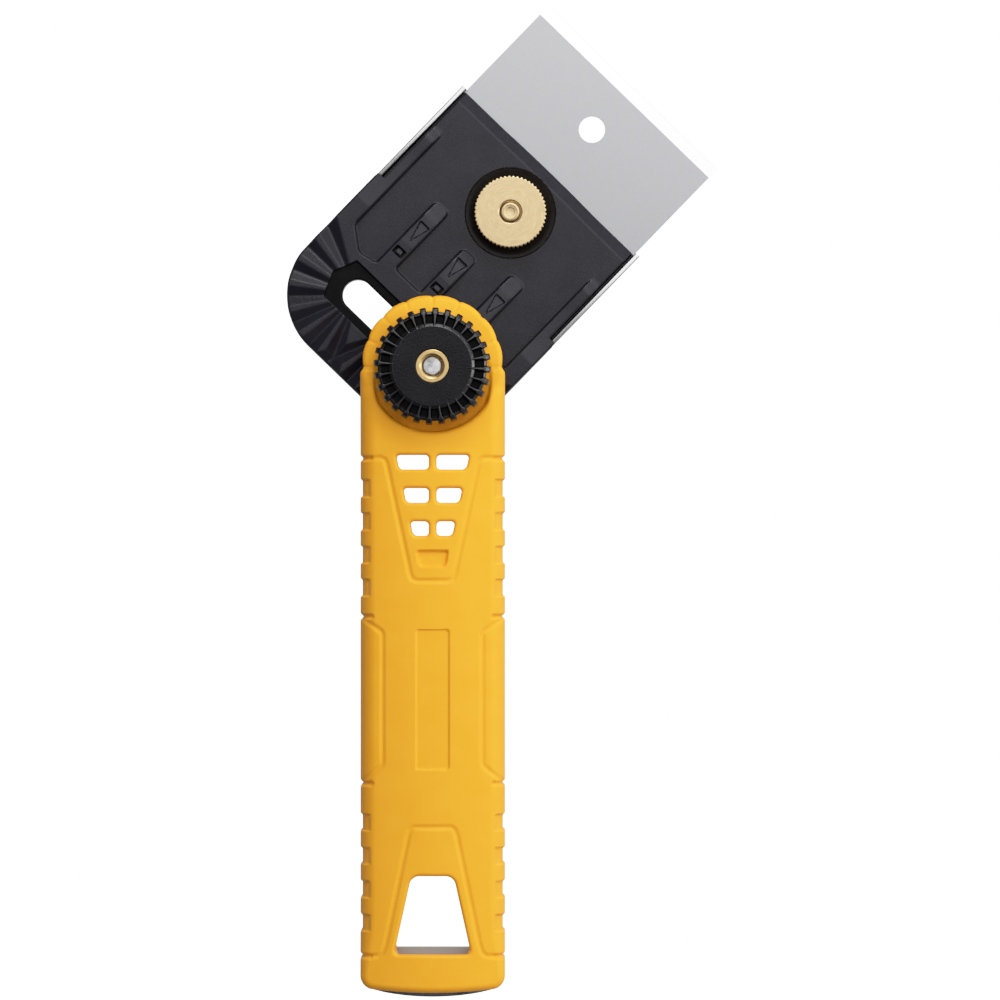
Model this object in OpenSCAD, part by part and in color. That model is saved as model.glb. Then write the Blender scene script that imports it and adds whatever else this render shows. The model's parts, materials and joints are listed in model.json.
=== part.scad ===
// Multi-purpose scraper with a swivelling, sideways-shifting blade head.
// It lies on its back: the rest plane is z = 0, +Z is the front, +Y runs up the
// handle from the butt to the pivot, and the origin is the middle of the flat
// rear face of the grip. Millimetres.

/* [Handle] */
// Width across the grip
handle_w = 36.6; // [36:0.1:38]
// Thickness of the grip, rear face to crown
handle_t = 20; // [19.5:0.1:21]
// Distance from the origin up to the pivot
pivot_y = 102; // [98:0.5:106]
// Length of the thin half that laps over the head, below the pivot
lap_len = 46; // [46:0.1:46.2]
// Lowest point of the plastic butt, below the pivot
butt_d = 158; // [157.6:0.1:158.6]
// How far the steel butt stands out of the plastic
butt_out = 1.1; // [0.8:0.1:1.6]
// Depth of the side grip recesses
grip_cut = 0.5; // [0.3:0.1:0.8]

/* [Windows and hang hole] */
// Height of one window
win_h = 3.7; // [3.2:0.1:4]
// Pitch of the window rows
win_pitch = 8.4; // [8.2:0.1:8.4]
// Half width of the first row of windows at its top
win_half = 9.3; // [8.8:0.1:9.6]
// Half of the bar between the left and right windows
win_bar = 0.93; // [0.8:0.01:1.2]
// Top edge of the hang hole, below the pivot
hang_top = 128.5; // [127.5:0.1:129.5]
// Floor of the hang hole, which is the top of the steel butt
hang_floor = 148.2; // [147.8:0.1:148.6]

/* [Head] */
// Angle of the head from straight, clockwise seen from the front
head_angle = 44.1; // [0:0.1:90]
// Half of the travel along the cross slot
slot_half = 13.35; // [13:0.05:13.5]
// Width of the cross slot
slot_w = 7.75; // [7.7:0.01:7.8]
// Corner radius of the head, about each slot end
rear_r = 18.1; // [18:0.1:18.6]
// Front edge of the head body, ahead of the slot
front_v = 56.3; // [56:0.1:56.8]
// Pitch angle of the index teeth
tooth_pitch = 22.5; // [22.5]
// Depth of the index teeth at the outer corner
tooth_depth = 1.6; // [1.4:0.1:1.7]

/* [Blade] */
// Width of the blade
blade_w = 60; // [58:0.5:60]
// Length of the blade
blade_l = 60; // [58:0.5:60]
// Thickness of the blade
blade_t = 0.6; // [0.4:0.05:0.6]
// Diameter of the two holes in the blade
blade_hole_d = 6.7; // [6.7:0.01:6.8]
// Distance of each hole from its end of the blade
blade_hole_in = 15; // [14.5:0.1:15.5]
// Width of the ground bevel
blade_bevel = 3.05; // [2.5:0.05:4]

/* [Knob and thumb nut] */
// Radius over the knob ribs
knob_r = 14.8; // [14.4:0.1:15]
// Number of knob ribs
knob_ribs = 28; // [24:1:32]
// Height of the knob
knob_h = 8.2; // [7.8:0.1:9]
// Radius of the flat top of the knob
knob_flat_r = 9.95; // [9:0.05:10.5]
// Diameter of the thumb nut
nut_d = 18.5; // [17.5:0.1:19]
// Number of teeth on the thumb nut
nut_teeth = 53; // [40:1:60]

/* [Hidden] */
$fn = 64;
hw = handle_w / 2;                 // half width of the grip
split_z = 10;                      // joint plane of the two shells
lap_z = 10.3;                      // rear face of the lap
face_z = 17.5;                     // seat of the knob washer
rim_z = 18.3;                      // knob recess and round end
bolt_z = face_z + 1 + knob_h - 0.4; // end of the bolt, just inside the knob
plate_t = 1.7;                     // index plate
ridge_h = 1.4;                     // index ridges at their outer end
plate_r = 16.8;                    // index plate
cover_t = 1.2;                     // rear cover of the head
sheet_t = 1.2;                     // clamp plate
blade_z = sheet_t + 0.05;          // underside of the blade
body_z = blade_z + blade_t + 0.05; // underside of the head body over the blade
floor_z = 6;                       // floor of the head body
top_z = 8.5;                       // plateau and tooth tops
band_z = 7;                        // floor of the recess along the slot
body_half = 31.35;                 // half width of the head behind the rails
rail_in = 30.1;                    // inner face of the rails
rail_t = 1.2;                      // rails
front_half = rail_in - 0.35;       // half width of the head between the rails
butt_half = 15.6;                  // half width of the steel butt
plate_v0 = 23.2;                   // rear edge of the clamp plate
nut_v = 42;                        // thumb nut, ahead of the slot
edge_v = nut_v - blade_hole_in + blade_l; // cutting edge, ahead of the slot
finger_w = 4.6;                    // arrow fingers
recess_up = [28.5, 36.9, 45.3, 53.65];    // upper side recesses, below the pivot
recess_lo = [113.0, 121.5, 129.9, 138.4]; // lower side recesses, below the pivot
screw_at = [[-9.5, -70], [9.5, -70], [-9.5, -114], [9.5, -114]]; // shell screws

// ---- shared shapes -------------------------------------------------------
function arc(cx, cy, r, a0, a1, n) =
    [for (i = [0:n]) let (a = a0 + (a1 - a0) * i / n) [cx + r * cos(a), cy + r * sin(a)]];
// points of a convex bottom edge of radius r, lowest at depth d, from -x1 to x1
function sag(d, r, x1, n) =
    [for (i = [0:n]) let (x = -x1 + 2 * x1 * i / n) [x, -(d - r) - sqrt(r * r - x * x)]];
function win_x(d) = win_half - 0.2117 * (d - 22.2);
function crown(n, k) = [for (i = [0:n]) let (t = 180 * i / n, c = cos(t), s = sin(t))
    [hw * sign(c) * pow(abs(c), 2 / k), split_z + (handle_t - split_z) * pow(abs(s), 2 / k)]];

module at_pivot() { translate([0, pivot_y, 0]) children(); }
module at_head() { at_pivot() rotate([0, 0, -head_angle]) translate([-slot_half, 0, 0]) children(); }
module tube(r, z0, z1) { translate([0, 0, z0]) cylinder(r = r, h = z1 - z0); }

// plan of the handle, pivot at the origin
module handle_plan() {
    circle(r = hw, $fn = 96);
    polygon(concat([[hw, 0], [-hw, 0]], arc(5 - hw, 6 - butt_d, 5, 180, 262, 8),
        sag(butt_d, 90, hw - 5.7, 12), arc(hw - 5, 6 - butt_d, 5, 278, 360, 8)));
}
// cross section: crowned front, flat rear with rounded edges
module handle_section() {
    polygon(concat(crown(24, 4.5), arc(5 - hw, 5, 5, 180, 270, 8), arc(hw - 5, 5, 5, 270, 360, 8)));
}
module handle_blank(z0, z1) {
    intersection() {
        translate([0, 0, z0]) linear_extrude(z1 - z0) handle_plan();
        rotate([90, 0, 0]) translate([0, 0, -25]) linear_extrude(butt_d + 30) handle_section();
    }
}
module side_recesses(list, len) {
    for (d = list) for (s = [-1, 1])
        translate([s * (hw - grip_cut + 2), -d - len / 2, 10]) cube([4, len, 30], center = true);
}
module hang_hole() {
    translate([0, 0, -1]) linear_extrude(handle_t + 2)
        polygon([[-5.35, -hang_top], [-9.7, -hang_floor], [9.7, -hang_floor], [5.35, -hang_top]]);
}
module butt_pocket() {
    translate([-butt_half - 0.05, -hang_floor - 14, 1.15]) cube([2 * butt_half + 0.1, 14.001, 15.9]);
    for (s = [-1, 1]) translate([s * 12.7, -153, split_z]) rotate([0, 90, 0])
        cylinder(r = 2.02, h = 8.2, center = true);
}
module plate_plan(g) {
    intersection() { circle(r = plate_r + g, $fn = 96); square([30 + 2 * g, 40], center = true); }
}

// ---- handle --------------------------------------------------------------
module handle_front_shell() {
    color("#e9b236") at_pivot() difference() {
        union() {
            difference() {
                handle_blank(split_z, handle_t);
                translate([-14.8, -124, split_z - 1]) cube([29.6, 64, 7.8]);
            }
            for (p = screw_at) translate([p[0], p[1], 0]) tube(3.6, split_z, 17);
        }
        // thin lap over the head
        translate([-30, -lap_len, 0]) cube([60, 80, lap_z]);
        // knob recess, cut off square at the sides; the round end lies at its level and ramps up beside it
        intersection() {
            tube(16.45, rim_z, 30);
            translate([-14.7, -20, rim_z - 1]) cube([29.4, 40, 10]);
        }
        translate([-30, 0, 0]) rotate([90, 0, 90]) linear_extrude(60)
            polygon([[-9, handle_t + 0.1], [-1, rim_z], [40, rim_z], [40, 30], [-9, 30]]);
        tube(10.75, face_z, 30);
        // the recess deepens towards its lower edge
        intersection() {
            difference() { tube(16.45, face_z - 1, 30); tube(11.2, 5, 31); }
            translate([-14.7, 0, 0]) rotate([90, 0, 90]) linear_extrude(29.4)
                polygon([[0, rim_z], [-17, rim_z - 1.6], [-17, 30], [0, 30]]);
        }
        // marks every index step round the end
        for (a = [0:tooth_pitch:180]) rotate([0, 0, a]) translate([hw, 0, 5])
            linear_extrude(20) rotate([0, 0, 45]) square(0.9, center = true);
        // windows and the blind recess under them
        for (i = [0:2]) for (s = [0, 1]) mirror([s, 0, 0]) {
            d0 = 22.2 + i * win_pitch;
            d1 = d0 + win_h;
            translate([0, 0, 5]) linear_extrude(20)
                polygon([[win_bar, -d0], [win_x(d0), -d0], [win_x(d1), -d1], [win_bar, -d1]]);
        }
        translate([0, 0, handle_t - 1.2]) linear_extrude(3)
            polygon([[-4.1, -46.4], [4.1, -46.4], [3.3, -50.4], [-3.3, -50.4]]);
        side_recesses(recess_up, 4.3);
        side_recesses(recess_lo, 4.15);
        hang_hole();
        butt_pocket();
        // seat of the index plate, bush hole and screw pilots
        translate([0, 0, lap_z - 1]) linear_extrude(plate_t + 1.02) plate_plan(0.05);
        tube(5.52, 5, 30);
        for (s = [-1, 1]) translate([s * 9.5, 9.5, 0]) tube(1.22, lap_z, 15.6);
        for (p = screw_at) translate([p[0], p[1], 0]) tube(1.5, split_z - 1, 16);
    }
}
module handle_rear_shell() {
    color("#e2a92f") at_pivot() difference() {
        union() {
            difference() {
                handle_blank(0, split_z);
                translate([-14.8, -124, 3]) cube([29.6, 64, 8]);
            }
            for (p = screw_at) translate([p[0], p[1], 0]) tube(4.4, 1, split_z);
        }
        translate([-30, -lap_len, -1]) cube([60, 80, 20]);
        side_recesses(recess_up, 4.3);
        side_recesses(recess_lo, 4.15);
        hang_hole();
        butt_pocket();
        for (p = screw_at) translate([p[0], p[1], 0]) { tube(1.6, -1, 11); tube(3.1, -1, 4); }
    }
}
// one wedge that grows outward along +X: h high at radius r, apex line sloping down
module wedge(r, h, spread, z) {
    slope = atan(h / r);
    translate([0, 0, z]) rotate([0, slope, 0]) rotate([90, 0, 90])
        linear_extrude(r * 1.4) polygon([[0, 0], [5 * tan(spread), 5], [-5 * tan(spread), 5]]);
}
module index_plate() {
    color("#8d9094") at_pivot() difference() {
        union() {
            translate([0, 0, lap_z]) linear_extrude(plate_t) plate_plan(0);
            for (a = [-1, 0, 1]) rotate([0, 0, -90 + a * tooth_pitch]) intersection() {
                wedge(plate_r, ridge_h, 58, lap_z);
                difference() { tube(plate_r - 0.1, 5, lap_z + 0.5); tube(9.4, 4, 12); }
            }
        }
        tube(5.52, 5, 15);
        for (s = [-1, 1]) translate([s * 9.5, 9.5, 0]) {
            tube(1.3, lap_z - 1, lap_z + 3);
            translate([0, 0, lap_z - 0.01]) cylinder(r1 = 2.51, r2 = 1.3, h = 1.22);
        }
    }
}
module index_screws() {
    color("#b9bcc0") at_pivot() for (s = [-1, 1]) translate([s * 9.5, 9.5, 0]) difference() {
        union() {
            translate([0, 0, lap_z]) cylinder(r1 = 2.48, r2 = 1.18, h = 1.25);
            tube(1.18, lap_z + 1.2, 15.2);
        }
        for (a = [0, 90]) rotate([0, 0, a]) translate([0, 0, lap_z + 0.2]) cube([2.6, 0.6, 1], center = true);
    }
}
module pivot_bush() {
    color("#a7abb0") at_pivot() difference() {
        union() { tube(5.5, 9.5, face_z - 0.05); tube(6.6, 9.5, lap_z); }
        tube(2.55, 5, 30);
        tube(4.3, 5, 14.4);
    }
}
// closed-end coil around the bolt, pushing the head off the ridges
module lift_spring() {
    n = 60; sides = 8; turns = 5; r = 3.5; w = 0.4; z0 = 8.32; z1 = 13.95;
    pts = [for (i = [0:n]) let (t = i / n, a = 360 * turns * t, z = z0 + (z1 - z0) * t)
        for (k = [0:sides - 1]) let (b = 360 * k / sides)
            [(r + w * cos(b)) * cos(a), (r + w * cos(b)) * sin(a), z + w * sin(b)]];
    faces = concat([[for (k = [0:sides - 1]) k]],
        [for (i = [0:n - 1]) for (k = [0:sides - 1]) let (q = (k + 1) % sides)
            [i * sides + k, (i + 1) * sides + k, (i + 1) * sides + q, i * sides + q]],
        [[for (k = [sides - 1:-1:0]) n * sides + k]]);
    color("#8a8d92") at_pivot() polyhedron(points = pts, faces = faces);
}
module strike_butt() {
    color("#8b8c90") at_pivot() difference() {
        translate([0, 0, 1.2]) linear_extrude(15.8) polygon(concat(
            [[butt_half, -hang_floor], [-butt_half, -hang_floor]], sag(butt_d + butt_out, 52, butt_half, 16)));
        for (s = [-1, 1]) translate([s * 12.2, -153, split_z]) rotate([0, 90, 0])
            cylinder(r = 2.02, h = 7.2, center = true);
    }
}
module butt_pins() {
    color("#c4c6c9") at_pivot() for (s = [-1, 1]) translate([s * 12.7, -153, split_z])
        rotate([0, 90, 0]) cylinder(r = 2, h = 8, center = true);
}
module shell_screws() {
    color("#b9bcc0") at_pivot() for (p = screw_at) translate([p[0], p[1], 0]) difference() {
        union() { tube(2.9, 2.2, 3.98); tube(1.48, 3.9, 15.6); }
        for (a = [0, 90]) rotate([0, 0, a]) translate([0, 0, 2.5]) cube([3, 0.7, 1.4], center = true);
    }
}

// ---- clamp through the slot ----------------------------------------------
module pivot_bolt() {
    color("#bfc2c6") at_head() translate([slot_half, 0, 0]) {
        translate([-5.8, -5.8, 1.3]) cube([11.6, 11.6, 2.7]);
        tube(slot_w / 2 - 0.075, 3.9, 6.6);
        tube(2.5, 6.5, bolt_z - 0.4);
        translate([0, 0, bolt_z - 0.4]) cylinder(r1 = 2.5, r2 = 2.1, h = 0.4);
    }
}
module spring_washer() {
    color("#9fa2a6") at_pivot() difference() { tube(5.7, band_z + 0.05, band_z + 0.85); tube(2.65, 5, 10); }
}

// ---- head ----------------------------------------------------------------
// rear outline of the head, drawn in by g, as far forward as v1
module rear_plan(g, v1) {
    for (s = [-1, 1]) translate([s * slot_half, 0]) circle(r = rear_r - g, $fn = 96);
    translate([-slot_half, g - rear_r]) square([2 * slot_half, rear_r]);
    translate([g - body_half, 0]) square([2 * (body_half - g), v1]);
}
module slot_plan(w, half) {
    for (s = [-1, 1]) translate([s * half, 0]) circle(d = w);
    square([2 * half, w], center = true);
}
// raised strip along +v: level to v1, then a ramp down to the floor at v2
module ramp_strip(u0, u1, v0, v1, v2) {
    translate([u0, 0, 0]) rotate([90, 0, 90]) linear_extrude(u1 - u0)
        polygon([[v0, floor_z - 1], [v0, top_z], [v1, top_z], [v2, floor_z], [v2, floor_z - 1]]);
}
module head_body() {
    color("#36363a") at_head() difference() {
        union() {
            // rear half with its skirt, and the front half between the rails
            linear_extrude(floor_z) rear_plan(0, 26);
            translate([0, 0, body_z]) rotate([90, 0, 90]) translate([0, 0, -front_half])
                linear_extrude(2 * front_half) polygon([[20, 0], [20, floor_z - body_z],
                    [front_v - 3, floor_z - body_z], [front_v, 1.3], [front_v, 0]]);
            // plateau with the pockets left out
            translate([0, 0, floor_z - 0.5]) linear_extrude(top_z - floor_z + 0.5) {
                rear_plan(0, 8.1);
                polygon([[-body_half, 0], [-body_half, 12.5], [-26.4, 12.5], [-20.7, 8.1], [-16.5, 9],
                    [-15.6, 10], [-15.6, 11.5], [15.6, 11.5], [15.6, 10], [16.5, 9], [20.7, 8.1],
                    [26.4, 12.5], [body_half, 12.5], [body_half, 0]]);
            }
            // arrow fingers and side ribs
            for (i = [-1, 0, 1]) ramp_strip(i * slot_half - finger_w / 2, i * slot_half + finger_w / 2,
                11, 18.2, i == 0 ? 27.7 : 31.4);
            for (s = [0, 1]) mirror([s, 0, 0]) ramp_strip(26.4, front_half, 11, 40, 46);
        }
        // underside: cover seat, blade seat, channel for the bolt head
        translate([0, 0, -1]) linear_extrude(cover_t + 1.05) rear_plan(1.75, plate_v0 - 0.6);
        translate([-40, plate_v0 - 0.7, -1]) cube([80, 50, body_z + 1]);
        translate([-slot_half - 6.05, -6.05, 0]) cube([2 * slot_half + 12.1, 12.1, 4.05]);
        translate([0, 0, -1]) linear_extrude(20) slot_plan(slot_w, slot_half);
        // recess along the slot
        translate([0, 0, band_z]) linear_extrude(5) polygon([[-slot_half - 8.6, 0], [-slot_half - 6.1, 6.1],
            [slot_half + 6.1, 6.1], [slot_half + 8.6, 0], [slot_half + 6.1, -6.1], [-slot_half - 6.1, -6.1]]);
        // index teeth about each slot end and about its middle
        for (s = [0, 1]) mirror([s, 0, 0]) translate([slot_half, 0, 0])
            for (a = [-112.5:tooth_pitch:22.5]) rotate([0, 0, a]) wedge(rear_r, tooth_depth, 61, top_z);
        for (a = [-112.5:tooth_pitch:-67.5]) rotate([0, 0, a]) wedge(rear_r, tooth_depth, 61, top_z);
        // pits for the cover hooks, with a ledge for the barb
        for (i = [-1, 0, 1]) translate([i * slot_half, 0, 0]) {
            translate([-1.5, 15, 0]) cube([3, 1.25, 12]);
            translate([-1.5, 14.15, 5.5]) cube([3, 2.1, 6]);
        }
        // arrow marks sunk in the fingers
        for (i = [-1, 0, 1]) translate([i * slot_half, 0, floor_z + 0.4]) linear_extrude(5)
            polygon([[-1.6, 24.7], [1.6, 24.7], [0, 19]]);
        // seat and hole of the thumb nut
        translate([0, nut_v, 0]) { tube(11.5, floor_z - 0.4, 10); tube(3.31, -1, 10); }
    }
}
module rear_cover() {
    color("#2c2c2f") at_head() {
        difference() {
            linear_extrude(cover_t) rear_plan(1.8, plate_v0 - 0.7);
            translate([0, 0, -1]) linear_extrude(5) slot_plan(slot_w, slot_half);
        }
        for (i = [-1, 0, 1]) translate([i * slot_half - 0.85, 0, 0]) {
            translate([0, 15.1, 0.6]) cube([1.7, 1, 6.4]);
            translate([0, 14.6, 5.6]) cube([1.7, 1, 1.4]);
        }
    }
}
// folded sheet: floor under the blade and a rail up each side
module clamp_plate() {
    color("#9a9da2") at_head() difference() {
        union() {
            translate([-rail_in, plate_v0, 0]) cube([2 * rail_in, front_v + 0.7 - plate_v0, sheet_t]);
            for (s = [0, 1]) mirror([s, 0, 0]) translate([rail_in, 26.1, 0]) rotate([-90, 0, 0])
                linear_extrude(front_v + 0.7 - 26.1)
                    polygon(concat([[-1, 0], [-1, -sheet_t], [0, -sheet_t], [0, -5.5], [rail_t, -5.5]],
                        arc(0, -rail_t, rail_t, 0, 90, 6)));
        }
        translate([0, nut_v, 0]) tube(3.02, -1, 5);
    }
}
module clamp_stud() {
    color("#c9a865") at_head() translate([0, nut_v, 0]) {
        tube(3, 0.05, sheet_t + 0.01);
        tube(3.25, sheet_t, 5.2);
        difference() {
            union() { tube(2.5, 5.1, 12); translate([0, 0, 12]) cylinder(r1 = 2.5, r2 = 2, h = 0.5); }
            translate([0, 0, 11.7]) cylinder(r1 = 0.6, r2 = 1.45, h = 0.81);
        }
    }
}
module blade() {
    color("#c3c4c8") at_head() difference() {
        translate([-blade_w / 2, 0, blade_z]) rotate([90, 0, 90]) linear_extrude(blade_w)
            polygon([[edge_v - blade_l, 0], [edge_v, 0], [edge_v, 0.05],
                [edge_v - blade_bevel, blade_t], [edge_v - blade_l, blade_t]]);
        for (v = [edge_v - blade_hole_in, nut_v]) translate([0, v, 0]) tube(blade_hole_d / 2, -1, 5);
    }
}
module star(n, r0, r1) {
    polygon([for (i = [0:n - 1]) for (k = [0:3]) let (a = 360 * (i + [0, 0.25, 0.5, 0.75][k]) / n,
        r = k < 2 ? r1 : r0) [r * cos(a), r * sin(a)]]);
}
module thumb_nut() {
    color("#cdb07a") at_head() translate([0, nut_v, 0]) difference() {
        union() {
            tube(5.5, floor_z - 0.35, 7.3);
            intersection() {
                translate([0, 0, 7.2]) linear_extrude(5) star(nut_teeth, nut_d / 2 - 0.45, nut_d / 2);
                rotate_extrude() polygon([[0, 7.2], [nut_d / 2 - 0.7, 7.2], [nut_d / 2, 7.9],
                    [nut_d / 2, 11.5], [nut_d / 2 - 0.7, 12.2], [0, 12.2]]);
            }
        }
        tube(2.55, 0, 20);
        tube(3.31, 0, 6);
        translate([0, 0, 11.65]) cylinder(r1 = 2.5, r2 = 3.05, h = 0.56);
    }
}

// ---- knob ----------------------------------------------------------------
module knob_washer() {
    color("#b3b6ba") at_pivot() difference() { tube(10.5, face_z + 0.05, face_z + 0.95); tube(2.65, 5, 30); }
}
module knob() {
    z0 = face_z + 1;
    color("#2b2b2e") at_pivot() difference() {
        union() {
            intersection() {
                translate([0, 0, z0]) linear_extrude(knob_h) star(knob_ribs, knob_r - 1.1, knob_r);
                rotate_extrude() polygon([[0, z0], [knob_r - 0.6, z0], [knob_r, z0 + 0.6],
                    [knob_r, z0 + knob_h - 2.2], [knob_r - 0.6, z0 + knob_h - 1.4],
                    [knob_flat_r, z0 + knob_h], [0, z0 + knob_h]]);
            }
        }
        tube(4.2, 5, 40);
    }
}
module knob_insert() {
    z0 = face_z + 1;
    color("#c8a766") at_pivot() difference() {
        tube(4.18, z0 + 0.02, z0 + knob_h - 0.1);
        tube(2.55, 5, 40);
    }
}

handle_front_shell();
handle_rear_shell();
index_plate();
index_screws();
pivot_bush();
lift_spring();
strike_butt();
butt_pins();
shell_screws();
pivot_bolt();
spring_washer();
head_body();
rear_cover();
clamp_plate();
clamp_stud();
blade();
thumb_nut();
knob_washer();
knob();
knob_insert();
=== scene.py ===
"""Looks of the hand scraper: modelled shells, head, knob, nut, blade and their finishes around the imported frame."""
import json
import math
import bpy
import bmesh
import numpy as np
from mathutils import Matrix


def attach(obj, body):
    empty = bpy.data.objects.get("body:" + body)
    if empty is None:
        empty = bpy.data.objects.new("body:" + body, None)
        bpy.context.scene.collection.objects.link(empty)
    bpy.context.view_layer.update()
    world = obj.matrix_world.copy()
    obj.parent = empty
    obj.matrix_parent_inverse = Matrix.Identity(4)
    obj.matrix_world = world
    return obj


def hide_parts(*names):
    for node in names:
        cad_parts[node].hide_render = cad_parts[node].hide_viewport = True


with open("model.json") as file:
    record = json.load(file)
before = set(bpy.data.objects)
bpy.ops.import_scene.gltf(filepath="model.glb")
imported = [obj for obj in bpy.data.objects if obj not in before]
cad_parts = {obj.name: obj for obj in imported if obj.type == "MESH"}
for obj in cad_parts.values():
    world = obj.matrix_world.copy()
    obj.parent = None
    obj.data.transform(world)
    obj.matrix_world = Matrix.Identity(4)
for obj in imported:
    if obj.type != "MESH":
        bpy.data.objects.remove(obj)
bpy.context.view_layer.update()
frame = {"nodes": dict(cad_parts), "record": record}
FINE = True
MM = 0.001
PIVOT_Y = 102.0
SLOT = 13.35
ANGLE = math.radians(44.1)
CA, SA = math.cos(ANGLE), math.sin(ANGLE)


# ---- distance fields ---------------------------------------------------------
def both(a, b, r):
    """Where a and b both hold, with the edge between them rounded to radius r."""
    u, v = np.maximum(a + r, 0), np.maximum(b + r, 0)
    return np.minimum(np.maximum(a, b), -r) + np.sqrt(u * u + v * v)


def either(a, b, r):
    """Where a or b holds, with a fillet of radius r between them."""
    u, v = np.maximum(r - a, 0), np.maximum(r - b, 0)
    return np.maximum(np.minimum(a, b), r) - np.sqrt(u * u + v * v)


def soft_min(a, b, k):
    h = np.clip(0.5 + 0.5 * (b - a) / k, 0, 1)
    return b + (a - b) * h - k * h * (1 - h)


def ramp(x, a, b):
    """0 below a, 1 above b, smooth between."""
    t = np.clip((x - a) / (b - a), 0, 1)
    return t * t * (3 - 2 * t)


def seg(x, y, x0, y0, x1, y1):
    """Distance in plan to a straight segment."""
    dx, dy = x1 - x0, y1 - y0
    t = np.clip(((x - x0) * dx + (y - y0) * dy) / (dx * dx + dy * dy), 0, 1)
    return np.hypot(x - x0 - t * dx, y - y0 - t * dy)


def path(x, y, pts):
    d = seg(x, y, *pts[0], *pts[1])
    for a, b in zip(pts[1:-1], pts[2:]):
        d = np.minimum(d, seg(x, y, *a, *b))
    return d


def inside(x, y, pts):
    """Signed distance in plan to a convex polygon given counter-clockwise."""
    d = None
    for (x0, y0), (x1, y1) in zip(pts, pts[1:] + pts[:1]):
        n = math.hypot(x1 - x0, y1 - y0)
        h = ((x - x0) * (y1 - y0) - (y - y0) * (x1 - x0)) / n
        d = h if d is None else np.maximum(d, h)
    return d


def rounded(x, y, pts, r):
    """As inside, with the corners rounded to radius r."""
    d = None
    for (x0, y0), (x1, y1) in zip(pts, pts[1:] + pts[:1]):
        n = math.hypot(x1 - x0, y1 - y0)
        h = ((x - x0) * (y1 - y0) - (y - y0) * (x1 - x0)) / n
        d = h if d is None else both(d, h, r)
    return d


def net(f, lo, hi, step, relax=2):
    """Surface of f < 0 as quads: one vertex per crossed cell, relaxed along the surface and settled on f = 0.
    Gives vertices and their normals in millimetres, and the quads."""
    axes = [np.arange(l - 2 * s, h + 2.5 * s, s) for l, h, s in zip(lo, hi, step)]
    grid = np.meshgrid(*axes, indexing="ij", sparse=True)
    F = np.array(np.broadcast_to(f(*grid), tuple(len(a) for a in axes)), np.float32)
    S = F < 0
    n = np.zeros(tuple(k - 1 for k in S.shape), np.uint8)
    corners = [(a, b, c) for a in (0, 1) for b in (0, 1) for c in (0, 1)]
    for a, b, c in corners:
        n += S[a:S.shape[0] - 1 + a, b:S.shape[1] - 1 + b, c:S.shape[2] - 1 + c]
    act = (n > 0) & (n < 8)
    cell = np.nonzero(act)
    idx = np.full(act.shape, -1, np.int64)
    idx[cell] = np.arange(len(cell[0]))
    pos = np.zeros((len(cell[0]), 3))
    cnt = np.zeros(len(cell[0]))
    for p in corners:
        for ax in range(3):
            if p[ax]:
                continue
            q = tuple(p[k] + (k == ax) for k in range(3))
            v0 = F[cell[0] + p[0], cell[1] + p[1], cell[2] + p[2]]
            v1 = F[cell[0] + q[0], cell[1] + q[1], cell[2] + q[2]]
            m = (v0 < 0) != (v1 < 0)
            t = v0[m] / (v0[m] - v1[m])
            for k in range(3):
                pos[m, k] += p[k] + (t if k == ax else 0)
            cnt[m] += 1
    pos /= cnt[:, None]
    P = np.stack([axes[k][0] + (cell[k] + pos[:, k]) * step[k] for k in range(3)], 1)
    quads = []
    for ax in range(3):
        b, c = (ax + 1) % 3, (ax + 2) % 3
        s0 = [slice(1, -1)] * 3
        s1 = [slice(1, -1)] * 3
        s0[ax], s1[ax] = slice(0, -1), slice(1, None)
        at = list(np.nonzero(S[tuple(s0)] != S[tuple(s1)]))
        at[b] = at[b] + 1
        at[c] = at[c] + 1

        def pick(db, dc):
            q = list(at)
            q[b] = q[b] - db
            q[c] = q[c] - dc
            return idx[tuple(q)]

        quad = np.stack([pick(1, 1), pick(0, 1), pick(0, 0), pick(1, 0)], 1)
        quads.append(np.where(S[tuple(at)][:, None], quad, quad[:, ::-1]))
    Q = np.concatenate(quads)

    def slope(P, e):
        g = np.empty_like(P)
        for k in range(3):
            d = np.zeros(3)
            d[k] = e
            a, b = P + d, P - d
            g[:, k] = (f(a[:, 0], a[:, 1], a[:, 2]) - f(b[:, 0], b[:, 1], b[:, 2])) / (2 * e)
        return g

    def settle(P, times):
        for _ in range(times):
            g = slope(P, 0.01)
            v = f(P[:, 0], P[:, 1], P[:, 2]) / np.maximum((g * g).sum(1), 0.05)
            P = P - np.clip(v, -0.5 * min(step), 0.5 * min(step))[:, None] * g
        return P

    P = settle(P, 2)
    a = np.concatenate([Q[:, 0], Q[:, 1], Q[:, 2], Q[:, 3]])
    b = np.concatenate([Q[:, 1], Q[:, 2], Q[:, 3], Q[:, 0]])
    deg = np.maximum(np.bincount(a, minlength=len(P)) + np.bincount(b, minlength=len(P)), 1)
    for _ in range(relax):
        mean = np.stack([np.bincount(a, P[b, k], len(P)) + np.bincount(b, P[a, k], len(P)) for k in range(3)], 1) / deg[:, None]
        g = slope(P, 0.02)
        g /= np.maximum(np.linalg.norm(g, axis=1), 1e-6)[:, None]
        d = mean - P
        d -= (d * g).sum(1)[:, None] * g
        P = settle(P + 0.5 * d, 1)
    P = settle(P, 1)
    N = slope(P, 0.03)
    N /= np.maximum(np.linalg.norm(N, axis=1), 1e-6)[:, None]
    return P, N, Q


def on_handle(P):
    return P + np.array([0, PIVOT_Y, 0])


def on_head(P):
    u = P[:, 0] - SLOT
    return np.stack([CA * u + SA * P[:, 1], PIVOT_Y - SA * u + CA * P[:, 1], P[:, 2]], 1)


def turned(N):
    return np.stack([CA * N[:, 0] + SA * N[:, 1], -SA * N[:, 0] + CA * N[:, 1], N[:, 2]], 1)


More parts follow.
